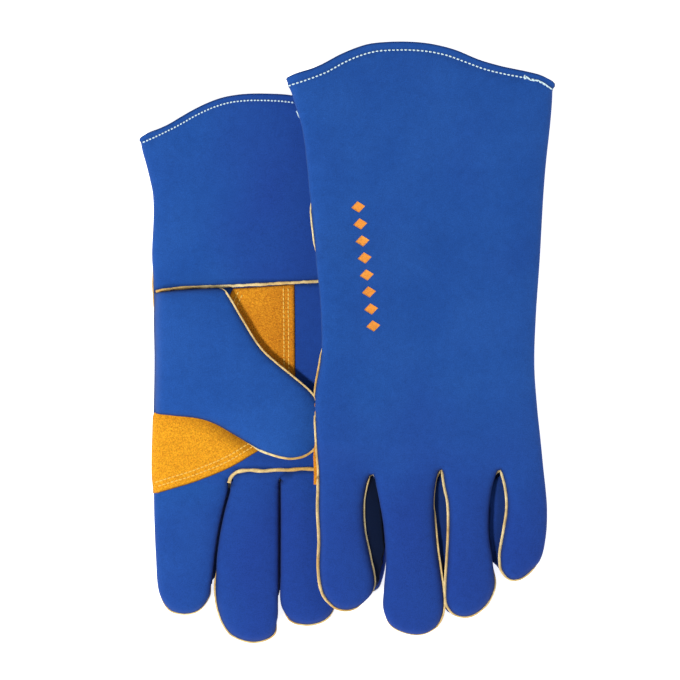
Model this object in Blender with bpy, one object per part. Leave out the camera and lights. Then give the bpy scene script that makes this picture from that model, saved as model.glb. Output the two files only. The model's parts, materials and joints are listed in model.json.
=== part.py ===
"""A pair of lined leather welding gauntlets lying flat, the left-hand glove leaning on the right-hand one.

Units are metres and +Z is up. The right-hand glove lies palm up on the bench with its thumb folded over
the palm. The left-hand glove lies back up on top of it, its thumb folded away underneath.
Cuffs point to +Y and fingers to -Y. Every glove is cut leather panels with a leather welt in the seams,
a gold palm patch and a separate cotton lining.
"""
import math

import bmesh
import bpy
from mathutils import Vector

# Sheet goods
LEATHER = 0.0012
LINING = 0.0008
WELT_THICKNESS = 0.0010
WELT_INSIDE = 0.0011
WELT_OUTSIDE = 0.0009
WRIST_WELT_WIDTH = 0.00176
GAP = 0.0004
SEAM = WELT_THICKNESS / 2 + GAP

# Thickness of a glove lying flat, measured from its own underside
GLOVE_MIDDLE = 0.0068
HAND_TOP = 0.0072
FINGER_TOP = 0.0086
CUFF_TOP = 0.0092
PATCH_OFFSET = GAP + LEATHER
HAND_HEIGHT = GLOVE_MIDDLE + HAND_TOP
BODY_JOINT_GAP = 0.0006

# Thumbs, folded over the right palm and under the left one
RIGHT_THUMB_HALF = 0.0056
LEFT_THUMB_HALF = 0.0045
THUMB_CLEARANCE = 0.0005

# Lie of the left-hand glove: it slopes down from the right-hand glove to the bench
BENCH_LINE_X = 0.1222
SLOPE_FINGERS = 0.170
SLOPE_PALM = 0.257
SLOPE_CUFF = 0.222
SLOPE_POINTS = ((-0.0800, SLOPE_FINGERS), (-0.0585, SLOPE_PALM), (0.0450, SLOPE_PALM), (0.0700, SLOPE_CUFF))

# Shift that puts the pair's box centre on the Z axis
CENTRE = Vector((-0.000426, 0.000768, 0.0))

# Cross-sections: places across the width from -1 to 1, and how early the section reaches its full height
HAND_ACROSS = (-1.0, -0.97, -0.89, -0.5, 0.0, 0.5, 0.89, 0.97, 1.0)
DIGIT_ACROSS = (-1.0, -0.88, -0.5, 0.0, 0.5, 0.88, 1.0)
PATCH_ACROSS = (0, 0.33, 0.67, 1)
PALM_SHARES = (0, 0.18, 0.5, 0.8, 1)
CUFF_SHARES = (0, 0.3, 0.6, 0.85, 1)
DIGIT_SECTIONS = 4
TIP_ANGLES = (35, 62, 84)
TIP_FLATTENING = 0.6
TIP_UNDERSIDE = 0.35
TIP_HALF_WIDTH = 0.0002
LEAST_HEIGHT = 0.0001
HAND_FULL_AT = HAND_ACROSS[6]
DIGIT_FULL_AT = DIGIT_ACROSS[4]

# Each digit: (distance along, first edge, second edge) from its base to its shoulder, then the tip
RIGHT_GLOVE = {
    "name": "right",
    "palm_up": True,
    "lifted": False,
    "hinge_y": -0.0845,
    "wrist_y": 0.0325,
    "mouth": {"thumb_side": 0.1202, "little_side": 0.1215, "crest": 0.1477},
    "thumb_edge": ((0.1202, -0.1232), (0.0945, -0.1157), (0.0510, -0.1163), (-0.0110, -0.1139),
                   (-0.0845, -0.1160)),
    "little_edge": ((0.1215, 0.0350), (0.0950, 0.0285), (0.0510, 0.0200), (-0.0110, 0.0130),
                    (-0.0845, 0.0200)),
    "fingers": {
        "index": (((-0.0848, -0.1158, -0.0715), (-0.1180, -0.1143, -0.0771), (-0.1460, -0.1125, -0.0806)),
                  (-0.0955, -0.1633)),
        "middle": (((-0.0848, -0.0690, -0.0406), (-0.1180, -0.0746, -0.0408), (-0.1550, -0.0776, -0.0408)),
                   (-0.0570, -0.1798)),
        "ring": (((-0.0848, -0.0380, -0.0090), (-0.1180, -0.0380, -0.0080), (-0.1480, -0.0380, -0.0070)),
                 (-0.0225, -0.1695)),
        "little": (((-0.0848, -0.0062, 0.0196), (-0.1050, -0.0052, 0.0228), (-0.1300, -0.0040, 0.0226)),
                   (0.0100, -0.1470)),
    },
    "thumb": (((-0.1120, -0.0430, 0.0300), (-0.0780, -0.0510, 0.0290), (-0.0510, -0.0645, -0.0045),
               (-0.0300, -0.0695, -0.0220)), (-0.0450, -0.0120)),
    "patch": (((-0.1080, -0.0825), (-0.0310, -0.0585)), ((-0.1080, -0.0400), (-0.0310, -0.0300)),
              ((-0.0860, 0.0050), (-0.0310, 0.0050)), ((-0.0690, 0.0290), (-0.0310, 0.0290))),
}

LEFT_GLOVE = {
    "name": "left",
    "palm_up": False,
    "lifted": True,
    "hinge_y": -0.0805,
    "wrist_y": 0.0400,
    "mouth": {"thumb_side": 0.1567, "little_side": 0.1529, "crest": 0.1790},
    "thumb_edge": ((0.1567, -0.0344), (0.1100, -0.0235), (0.0400, -0.0165), (-0.0050, -0.0146),
                   (-0.0805, -0.0166)),
    "little_edge": ((0.1529, 0.1240), (0.1100, 0.1188), (0.0400, 0.1155), (-0.0144, 0.1125),
                    (-0.0805, 0.1186)),
    "fingers": {
        "index": (((-0.0808, -0.0164, 0.0138), (-0.1120, -0.0158, 0.0116), (-0.1430, -0.0156, 0.0170)),
                  (0.0000, -0.1602)),
        "middle": (((-0.0808, 0.0168, 0.0555), (-0.1180, 0.0230, 0.0540), (-0.1560, 0.0226, 0.0582)),
                   (0.0445, -0.1750)),
        "ring": (((-0.0808, 0.0585, 0.0912), (-0.1150, 0.0616, 0.0858), (-0.1450, 0.0612, 0.0894)),
                 (0.0715, -0.1645)),
        "little": (((-0.0808, 0.0944, 0.1186), (-0.1050, 0.0960, 0.1198), (-0.1290, 0.0926, 0.1166)),
                   (0.1020, -0.1428)),
    },
    "thumb": (((-0.0128, -0.0355, 0.0370), (0.0220, -0.0435, 0.0360), (0.0490, -0.0560, 0.0030),
               (0.0690, -0.0600, -0.0150)), (-0.0380, 0.0850)),
    "patch": (((-0.0090, -0.0580), (0.0680, -0.0520)), ((-0.0090, -0.0325), (0.0680, -0.0225)),
              ((0.0130, 0.0125), (0.0680, 0.0125)), ((0.0300, 0.0365), (0.0680, 0.0365))),
}


def clear_scene():
    for item in list(bpy.data.objects):
        bpy.data.objects.remove(item, do_unlink=True)


def make_material(name, colour, roughness):
    material = bpy.data.materials.new(name)
    material.use_nodes = True
    shader = material.node_tree.nodes["Principled BSDF"]
    shader.inputs["Base Color"].default_value = (*colour, 1.0)
    shader.inputs["Roughness"].default_value = roughness
    shader.inputs["Metallic"].default_value = 0.0
    material.diffuse_color = (*colour, 1.0)
    return material


def smooth_step(amount):
    amount = min(1.0, max(0.0, amount))
    return amount * amount * (3 - 2 * amount)


def curve_value(points, place):
    """A cubic curve through (place, value) points, straight beyond its ends."""
    ordered = sorted(points)
    place = min(ordered[-1][0], max(ordered[0][0], place))
    slopes = []
    for index in range(len(ordered)):
        before = ordered[max(index - 1, 0)]
        after = ordered[min(index + 1, len(ordered) - 1)]
        slopes.append((after[1] - before[1]) / (after[0] - before[0]))
    for index in range(len(ordered) - 1):
        start, end = ordered[index], ordered[index + 1]
        if place <= end[0]:
            span = end[0] - start[0]
            t = (place - start[0]) / span
            return ((2 * t**3 - 3 * t**2 + 1) * start[1] + (t**3 - 2 * t**2 + t) * span * slopes[index]
                    + (3 * t**2 - 2 * t**3) * end[1] + (t**3 - t**2) * span * slopes[index + 1])
    return ordered[-1][1]


def bench_slope(y):
    """Sideways slope of the left-hand glove at a distance along it."""
    for (start, low), (end, high) in zip(SLOPE_POINTS, SLOPE_POINTS[1:]):
        if y < end:
            return low + (high - low) * smooth_step((y - start) / (end - start))
    return SLOPE_POINTS[-1][1]


def lay(glove, x, y, z):
    """A point of a glove lying flat, moved to where the glove lies in the pair."""
    lift = (BENCH_LINE_X - x) * bench_slope(y) if glove["lifted"] else 0.0
    return Vector((x, y, z + lift)) + CENTRE


def height_share(across, full_at):
    """Share of the full height at a place across the width: round at the edges, flat from full_at inwards."""
    if abs(across) <= full_at:
        return 1.0
    return math.sqrt(max(0.0, 1 - across * across) / (1 - full_at * full_at))


def arc_points(station, side, across, full_at, base):
    """Points over one section, from its first edge to its second; base is the height at its edges."""
    first, second, up, bow, middle = station
    first, second = Vector(first), Vector(second)
    half = (second - first) / 2
    centre = first + half
    height = max(up[0 if side > 0 else 1] - base, LEAST_HEIGHT)
    points = []
    for place in across:
        spot = centre + half * place
        z = middle + side * (base + height * height_share(place, full_at))
        points.append((spot.x, spot.y + bow * (1 - place * place), z))
    return points


def add_solid(glove, name, rings_outer, rings_inner, material, parent, closed_rings):
    """One closed body between an outer and an inner loft of the same sections."""
    mesh = bmesh.new()
    anchor = parent.matrix_world.translation if parent else Vector()

    def add_rings(rings):
        return [[mesh.verts.new(lay(glove, *point) - anchor) for point in ring] for ring in rings]

    outer, inner = add_rings(rings_outer), add_rings(rings_inner)
    count = len(outer[0])
    steps = range(count) if closed_rings else range(count - 1)
    for rings in (outer, inner):
        for one, two in zip(rings, rings[1:]):
            for index in steps:
                after = (index + 1) % count
                corners = [one[index], one[after], two[after], two[index]]
                # A ring's underside runs backwards, so its diagonals turn to match the panel outside it.
                if closed_rings and index >= count // 2:
                    corners = corners[1:] + corners[:1]
                mesh.faces.new(corners[:3])
                mesh.faces.new((corners[0], corners[2], corners[3]))
    for end in (0, -1):
        for index in steps:
            after = (index + 1) % count
            mesh.faces.new((outer[end][index], outer[end][after], inner[end][after], inner[end][index]))
    if not closed_rings:
        for edge in (0, -1):
            for place in range(len(outer) - 1):
                mesh.faces.new((outer[place][edge], outer[place + 1][edge],
                                inner[place + 1][edge], inner[place][edge]))
    return finish_mesh(mesh, name, material, parent)


def finish_mesh(mesh, name, material, parent):
    bmesh.ops.recalc_face_normals(mesh, faces=mesh.faces)
    data = bpy.data.meshes.new(name)
    mesh.to_mesh(data)
    mesh.free()
    data.materials.append(material)
    data.shade_smooth()
    data.set_sharp_from_angle(angle=math.radians(40))
    piece = bpy.data.objects.new(name, data)
    bpy.context.scene.collection.objects.link(piece)
    piece.parent = parent
    return piece


def add_half(glove, name, stations, side, across, full_at, material, parent):
    """Half a leather casing: the panel on one side of the seam."""
    outer = [arc_points(pair[0], side, across, full_at, SEAM) for pair in stations]
    inner = [arc_points(pair[1], side, across, full_at, SEAM) for pair in stations]
    return add_solid(glove, name, outer, inner, material, parent, False)


def ring_points(station, across, full_at):
    """A whole section: over the top, then back underneath."""
    above = arc_points(station, 1, across, full_at, 0.0)
    below = arc_points(station, -1, across, full_at, 0.0)
    return above + below[-2:0:-1]


def add_lining(glove, name, stations, across, full_at, material, parent):
    outer = [ring_points(pair[0], across, full_at) for pair in stations]
    inner = [ring_points(pair[1], across, full_at) for pair in stations]
    return add_solid(glove, name, outer, inner, material, parent, True)


def add_welt(glove, name, path, middle, material, parent):
    """A flat leather strip in a seam; the outside of the glove is on the path's right-hand side."""
    mesh = bmesh.new()
    anchor = parent.matrix_world.translation if parent else Vector()
    rings = []
    for index, point in enumerate(path):
        before = Vector(path[max(index - 1, 0)])
        after = Vector(path[min(index + 1, len(path) - 1)])
        along = (after - before).normalized()
        outward = Vector((along.y, -along.x))
        ring = []
        for reach, side in ((-WELT_INSIDE, -1), (WELT_OUTSIDE, -1), (WELT_OUTSIDE, 1), (-WELT_INSIDE, 1)):
            spot = Vector(point) + outward * reach
            corner = lay(glove, spot.x, spot.y, middle + side * WELT_THICKNESS / 2)
            ring.append(mesh.verts.new(corner - anchor))
        rings.append(ring)
    for one, two in zip(rings, rings[1:]):
        for index in range(4):
            after = (index + 1) % 4
            mesh.faces.new((one[index], one[after], two[after], two[index]))
    mesh.faces.new(rings[0])
    mesh.faces.new(rings[-1])
    return finish_mesh(mesh, name, material, parent)


def hand_stations(glove, places, top, inset):
    """Sections across the hand or cuff at places along it, inset from the leather's outer face."""
    mouth = glove["mouth"]
    stations = []
    for y in places:
        thumb_x = curve_value(glove["thumb_edge"], y)
        little_x = curve_value(glove["little_edge"], y)
        share = smooth_step((y - glove["wrist_y"]) / (mouth["thumb_side"] - glove["wrist_y"]))
        tilt = (mouth["little_side"] - mouth["thumb_side"]) * share
        bow = (mouth["crest"] - (mouth["little_side"] + mouth["thumb_side"]) / 2) * share
        height = HAND_TOP + (top - HAND_TOP) * share - inset
        stations.append(((thumb_x + inset, y), (little_x - inset, y + tilt), (height, GLOVE_MIDDLE - inset),
                         bow, GLOVE_MIDDLE))
    return stations


def digit_stations(digit, along_x, heights, middle, inset):
    """Sections of a finger or thumb from its open base to its round tip."""
    stretch, tip = digit
    base = stretch[0][0]
    shoulder, first, second = stretch[-1]
    tip_side, tip_end = tip
    first_edge = [(item[0], item[1]) for item in stretch]
    second_edge = [(item[0], item[2]) for item in stretch]
    sections = []
    for index in range(DIGIT_SECTIONS):
        share = index / (DIGIT_SECTIONS - 1)
        place = base + (shoulder - base) * share
        puff = smooth_step(share)
        sections.append((place, curve_value(first_edge, place), curve_value(second_edge, place), puff, 1.0))
    half = (second - first) / 2
    centre = first + half
    end = tip_end - math.copysign(inset, tip_end - shoulder)
    for angle in TIP_ANGLES:
        share = math.sin(math.radians(angle))
        narrow = math.cos(math.radians(angle))
        place = shoulder + (end - shoulder) * share
        middle_place = centre + (tip_side - centre) * share
        sections.append((place, middle_place - half * narrow, middle_place + half * narrow, 1.0,
                         narrow**TIP_FLATTENING))
    stations = []
    for place, low, high, puff, narrow in sections:
        above = (heights[0] + (heights[1] - heights[0]) * puff - inset) * narrow
        below = (heights[2] - inset) * (TIP_UNDERSIDE + (1 - TIP_UNDERSIDE) * narrow)
        centre_line = (low + high) / 2
        half_width = max((high - low) / 2 - inset, TIP_HALF_WIDTH)
        low, high = centre_line - half_width, centre_line + half_width
        ends = ((place, low), (place, high)) if along_x else ((low, place), (high, place))
        stations.append((*ends, (above, below), 0.0, middle))
    return stations


def seam_path(stations, from_first):
    """The outline of a digit's seam: down its first edge, round the tip and back up its second edge."""
    first = [station[0] for station in stations]
    second = [station[1] for station in stations]
    return first + second[::-1] if from_first else second + first[::-1]


def add_digit(glove, name, digit, along_x, heights, middle, up_name, down_name, materials, parent,
              welt_places):
    """A finger or thumb: its two leather halves, its lining and its welt."""
    prefix = f"{glove['name']}_{name}"
    leather_out = digit_stations(digit, along_x, heights, middle, 0.0)
    leather_in = digit_stations(digit, along_x, heights, middle, LEATHER)
    lining_out = digit_stations(digit, along_x, heights, middle, LEATHER + GAP)
    lining_in = digit_stations(digit, along_x, heights, middle, LEATHER + GAP + LINING)
    casing = list(zip(leather_out, leather_in))
    full_at = DIGIT_FULL_AT
    add_half(glove, f"{prefix}_{up_name}", casing, 1, DIGIT_ACROSS, full_at, materials[up_name], parent)
    add_half(glove, f"{prefix}_{down_name}", casing, -1, DIGIT_ACROSS, full_at, materials[down_name], parent)
    lining = list(zip(lining_out, lining_in))
    add_lining(glove, f"{prefix}_liner", lining, DIGIT_ACROSS, full_at, materials["lining"], parent)
    path = seam_path(leather_out, True)[welt_places]
    add_welt(glove, f"{prefix}_welt", path, middle, materials["welt"], parent)


def add_hand(glove, materials, parent):
    """The hand and cuff: one back panel, two palm-side panels, their welts, patch and linings."""
    prefix = glove["name"]
    base = glove["hinge_y"] + BODY_JOINT_GAP / 2
    wrist, mouth = glove["wrist_y"], glove["mouth"]["thumb_side"]
    palm_side = 1 if glove["palm_up"] else -1
    palm_places = [base + (wrist - WELT_INSIDE - GAP - base) * share for share in PALM_SHARES]
    cuff_start = wrist + WELT_INSIDE + GAP
    cuff_places = [cuff_start + (mouth - cuff_start) * share for share in CUFF_SHARES]
    back_places = palm_places + cuff_places
    full_at = HAND_FULL_AT

    def casing(places, inset_out, inset_in):
        return list(zip(hand_stations(glove, places, CUFF_TOP, inset_out),
                        hand_stations(glove, places, CUFF_TOP, inset_in)))

    def panel(name, places, side):
        stations = casing(places, 0.0, LEATHER)
        add_half(glove, f"{prefix}_{name}", stations, side, HAND_ACROSS, full_at, materials["blue"], parent)

    panel("back_panel", back_places, -palm_side)
    panel("palm_panel", palm_places, palm_side)
    panel("cuff_palm_panel", cuff_places, palm_side)
    inner = LEATHER + GAP
    for name, places in (("hand_liner", palm_places), ("cuff_liner", cuff_places)):
        stations = casing(places, inner, inner + LINING)
        add_lining(glove, f"{prefix}_{name}", stations, HAND_ACROSS, full_at, materials["lining"], parent)
    edges = hand_stations(glove, back_places, CUFF_TOP, 0.0)
    little_path = [station[1] for station in edges]
    thumb_path = [station[0] for station in edges][::-1]
    add_welt(glove, f"{prefix}_little_side_welt", little_path[::-1], GLOVE_MIDDLE, materials["welt"], parent)
    add_welt(glove, f"{prefix}_thumb_side_welt", thumb_path[::-1], GLOVE_MIDDLE, materials["welt"], parent)
    add_wrist_welt(glove, palm_side, wrist, materials["welt"], parent)
    add_patch(glove, palm_side, materials["gold"], parent)


def add_wrist_welt(glove, side, wrist, material, parent):
    """The strip in the seam between the palm and the cuff, following the palm-side surface."""
    rings = []
    for place in (wrist - WRIST_WELT_WIDTH / 2, wrist + WRIST_WELT_WIDTH / 2):
        outer = hand_stations(glove, [place], HAND_TOP, -WELT_OUTSIDE / 2)[0]
        inner = hand_stations(glove, [place], HAND_TOP, LEATHER - GAP)[0]
        rings.append((outer, inner))
    full_at = HAND_FULL_AT
    outer = [arc_points(pair[0], side, HAND_ACROSS, full_at, SEAM) for pair in rings]
    inner = [arc_points(pair[1], side, HAND_ACROSS, full_at, SEAM) for pair in rings]
    add_solid(glove, f"{glove['name']}_wrist_welt", outer, inner, material, parent, False)


def add_patch(glove, side, material, parent):
    """The gold patch sewn flat on the palm, under the folded thumb."""
    surface = GLOVE_MIDDLE + HAND_TOP if side > 0 else 0.0
    rows_near, rows_far = [], []
    for first, second in glove["patch"]:
        spots = [Vector(first).lerp(Vector(second), share) for share in PATCH_ACROSS]
        rows_near.append([(spot.x, spot.y, surface + side * GAP) for spot in spots])
        rows_far.append([(spot.x, spot.y, surface + side * PATCH_OFFSET) for spot in spots])
    add_solid(glove, f"{glove['name']}_palm_patch", rows_near, rows_far, material, parent, False)


def add_empty(name, location, parent=None):
    empty = bpy.data.objects.new(name, None)
    bpy.context.scene.collection.objects.link(empty)
    empty.parent = parent
    origin = parent.location if parent else Vector()
    empty.location = location - origin
    bpy.context.view_layer.update()
    return empty


def add_fingers(glove, materials, carrier):
    """Each finger hangs on the line across the hand where the leather bends, at the upper surface."""
    up_name, down_name = ("front", "back") if glove["palm_up"] else ("back", "front")
    digit_materials = {up_name: materials["blue"], down_name: materials["blue"],
                       "welt": materials["welt"], "lining": materials["lining"]}
    heights = (HAND_TOP, FINGER_TOP, GLOVE_MIDDLE)
    for name, digit in glove["fingers"].items():
        centre = (digit[0][0][1] + digit[0][0][2]) / 2
        hinge = lay(glove, centre, glove["hinge_y"], HAND_HEIGHT)
        axis = add_empty(f"{glove['name']}_{name}_axis", hinge, carrier)
        add_digit(glove, name, digit, False, heights, GLOVE_MIDDLE, up_name, down_name, digit_materials, axis,
                  slice(None))


def add_thumb(glove, materials, carrier):
    """The thumb folds flat on the palm about the thumb side of the hand."""
    above = glove["palm_up"]
    half = RIGHT_THUMB_HALF if above else LEFT_THUMB_HALF
    start = HAND_HEIGHT if above else 0.0
    side = 1 if above else -1
    middle = start + side * (PATCH_OFFSET + THUMB_CLEARANCE + half)
    digit = glove["thumb"]
    hinge_y = (digit[0][0][1] + digit[0][0][2]) / 2
    hinge = lay(glove, digit[0][0][0], hinge_y, start)
    axis = add_empty(f"{glove['name']}_thumb_axis", hinge, carrier)
    up_name, down_name = ("outer", "inner") if above else ("inner", "outer")
    digit_materials = {"outer": materials["blue"], "inner": materials["gold"],
                       "welt": materials["welt"], "lining": materials["lining"]}
    # The lower edge of the wing is a fold, so its welt starts near the tip.
    add_digit(glove, "thumb", digit, True, (half, half, half), middle, up_name, down_name, digit_materials,
              axis, slice(DIGIT_SECTIONS - 1, None))


def main():
    clear_scene()
    materials = {
        "blue": make_material("blue_leather", (0.019, 0.089, 0.381), 0.85),
        "gold": make_material("gold_leather", (0.831, 0.328, 0.010), 0.85),
        "welt": make_material("welt_leather", (0.791, 0.515, 0.102), 0.80),
        "lining": make_material("cotton_lining", (0.610, 0.584, 0.510), 0.95),
    }
    left_carrier = add_empty("left_glove_carrier", Vector())
    for glove, carrier in ((RIGHT_GLOVE, None), (LEFT_GLOVE, left_carrier)):
        add_hand(glove, materials, carrier)
        add_fingers(glove, materials, carrier)
        add_thumb(glove, materials, carrier)


main()
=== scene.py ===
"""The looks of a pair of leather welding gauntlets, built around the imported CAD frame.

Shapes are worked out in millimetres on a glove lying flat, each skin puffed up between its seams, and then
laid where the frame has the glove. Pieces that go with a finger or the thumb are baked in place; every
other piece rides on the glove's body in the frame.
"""
import json
import math
from types import SimpleNamespace

import bmesh
import bpy
import numpy as np
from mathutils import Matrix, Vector, geometry, noise
from mathutils.bvhtree import BVHTree


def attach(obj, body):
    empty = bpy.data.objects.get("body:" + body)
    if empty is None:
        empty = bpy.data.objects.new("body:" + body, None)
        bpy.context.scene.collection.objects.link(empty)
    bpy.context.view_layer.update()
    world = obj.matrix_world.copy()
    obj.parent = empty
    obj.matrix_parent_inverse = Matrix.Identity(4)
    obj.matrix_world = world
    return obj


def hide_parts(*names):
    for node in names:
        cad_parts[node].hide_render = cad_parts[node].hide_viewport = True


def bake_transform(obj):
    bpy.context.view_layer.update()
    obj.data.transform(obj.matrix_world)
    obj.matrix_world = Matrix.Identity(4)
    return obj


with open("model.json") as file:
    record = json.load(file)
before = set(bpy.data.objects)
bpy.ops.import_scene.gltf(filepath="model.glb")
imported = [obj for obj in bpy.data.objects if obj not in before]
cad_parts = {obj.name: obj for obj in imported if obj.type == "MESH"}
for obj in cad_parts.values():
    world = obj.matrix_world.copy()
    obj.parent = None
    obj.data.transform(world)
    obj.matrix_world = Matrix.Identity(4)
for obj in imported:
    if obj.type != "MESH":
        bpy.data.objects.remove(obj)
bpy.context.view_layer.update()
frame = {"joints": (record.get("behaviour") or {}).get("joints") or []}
JOINTS = {joint["name"]: joint for joint in frame["joints"]}
MM = 0.001

# Where the flat pattern's zero lies in the frame: the right index hinge is at a known place on the pattern.
INDEX_HINGE_ON_PATTERN = Vector((-93.65, -84.5, 14.0))
SHIFT = Vector(JOINTS["right_index_bend"]["pos_m"]) / MM - INDEX_HINGE_ON_PATTERN
FLAT_SHIFT = np.array(SHIFT)[:2]

# Thickness of a glove lying flat, in millimetres from its underside
MIDDLE = 6.8
UNDERSIDE = 6.6
HAND_TOP = 7.6
FINGER_TOP = 9.8
CUFF_TOP = 9.0
PUFF_LENGTH = 9.0
SEAM_GAP = 0.35
LINING_INSET = 2.1
# How much deeper than its full thickness the lower skin is puffed, before the bench flattens it
UNDER_PUFF = 1.6
# Where the hand thickens into the fingers: start above the bend line, and length
FINGER_RISE = (14, 45)
# How fast the underside flattens, and the share of its thickness where it is taken as flat
FLATTENING = (2.2, 1.24)
# Dip beside a seam that shows above, and beside one that swells below, as depth share and width
WELT_DIP = (0.45, 1.2)
SWELL_DIP = (0.25, 3.5)
# How far from a seam its own height is still felt
SEAM_REACH = 4.5
# Lowest a skin may lie over the bench, and how much higher at the cuff's mouth, over what width
BENCH_GAP = 0.15
MOUTH_LIFT = (0.9, 6.0)
# A seam whose welt shows less than this from above is tucked under
TUCKED_BELOW = 0.5
# Where the seam is tucked under, how far in from the outline the skin lies at each distance over the leather
TUCK = ((0.0, 0.35, 0.9, 1.8, 3.1, 4.8, 7.0, 10.0, 15.0),
        (1.3, 0.45, 0.05, 0.25, 1.15, 2.9, 5.5, 9.3, 15.0))
# Height of the seam over the middle plane, by how far it shows
SEAM_HEIGHT = ((0.0, 0.5, 1.0, 1.7), (-3.4, 0.2, 2.0, 2.4))
# How the lower skin swells out to the next finger, at each distance from the seam
SWELL = ((0.0, 0.35, 0.9, 1.8, 3.1, 4.8, 7.0, 11.0), (0.0, 0.45, 0.85, 1.0, 0.98, 0.8, 0.45, 0.0))
SWELL_FULL = 3.0
SWELL_UNDER = 0.35
CROTCH_SWELL = 4.0

# Painted shade in creases, where shadow falls. Its colour, as a share of the plain dye's; how dark and how
# wide it is in a seam, on the cuff's rolled edge, along the hem's thread and along the palm's seams; and how
# dark it is on the hem's flap and on the lower skin between one finger and the next
PAINTED_SHADE_SHARE = 0.12
SEAM_SHADE = (0.7, 0.75)
RIM_SHADE = (0.75, 0.6)
HEM_SHADE = (0.3, 0.9)
PALM_SEAM_SHADE = (0.9, 1.7)
FLAP_SHADE = 0.55
CREVICE_SHADE = {"index": 1.0, "middle": 0.6, "ring": 0.6, "little": 0.1}

# Depth and width of the grooves along the hem's thread, the wrist seam and the finger-base seam
HEM_GROOVE = (0.55, 1.1)
WRIST_GROOVE = (1.0, 1.6)
BASE_GROOVE = (0.9, 1.6)

# The cuff's hem: a round fold, then a flap, as reach out of the cuff and drop below the skin
HEM_CLEAR = 7.0
HEM_RADIUS = 0.95
HEM_BACK = 0.65
HEM_TURNS = (35, 70, 110, 145, 180)
HEM_FLAP = ((-3.0, 1.9), (-7.0, 1.95), (-11.0, 2.0))

# Sections of one stitch: place as a share of its length, size as a share of its radius, and rise in radii;
# its sides; how high it lies on the leather; the hem's thread; the width and height of its loose ends; and
# the pitch, length and radius of the patch's stitches
STITCH = ((-0.5, 0.25, -0.35), (-0.36, 0.9, 0.35), (0.0, 1.0, 0.6), (0.36, 0.9, 0.35), (0.5, 0.25, -0.35))
STITCH_SIDES = 6
STITCH_LIFT = 0.1
HEM_THREAD_RADIUS = 0.48
LOOSE_THREAD = (0.75, 0.42)
PATCH_STITCH = (2.6, 2.3, 0.42)

# A seam's welt: how far it stands out and how steeply, by how far it shows; how deep its root lies in the
# seam, and how much deeper where the seam is tucked under; its thickness and its unevenness
WELT_REACH = ((0, 0.3, 1.0, 1.7), (0.15, 0.55, 1.25, 2.0))
WELT_TILT = ((0, 0.5, 1.0), (-0.6, 0.15, 0.75))
WELT_ROOT = 1.3
WELT_TUCK = 1.5
WELT_THICKNESS = 1.15
WELT_WOBBLE = (0.22, 0.2)
# Width and height of the welts lying on the palm
WRIST_WELT = (1.9, 0.8)
BASE_WELT = (2.2, 1.0)

# Broad waves in the leather, as height and length; puckers along the seams: height, length, how far in from
# the seam and how wide; and how far the painted shade between two fingers reaches and fades
WAVES = ((0.55, 38.0), (0.25, 15.0))
PUCKERS = (0.55, 4.2, 3.0, 2.6)
CREVICE_REACH = (8.0, 3.0)

# Lie of the left glove, from the little-finger side up to the thumb side
BENCH_LINE_X = 122.2
SLOPES = ((-80.0, 0.170), (-58.5, 0.257), (45.0, 0.257), (70.0, 0.222))

# Mesh spacing
FINE = SimpleNamespace(path=1.7, grid=3.4, rings=(0.35, 0.9, 1.8, 3.1, 4.8), clear=6.3)
COARSE = SimpleNamespace(path=5.0, grid=8.0, rings=(1.0, 3.5), clear=7.0)
PATCH_MESH = SimpleNamespace(path=2.2, grid=3.6, rings=(0.5, 1.4, 2.6, 3.4, 4.8, 6.2, 7.4), clear=9.0)
MARK_MESH = SimpleNamespace(grid=1.6, rings=(), clear=0.6)

# Height of a row of equal triangles, as a share of their side
HEX_ROW = 0.866
# Nearer than this, a vertex is on a line
ON_LINE = 1e-3
SOLVER_STEPS = 400
SOLVER_LIMIT = 1e-12

FINGERS = ("index", "middle", "ring", "little")
BEND_LENGTH = 22.0

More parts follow.
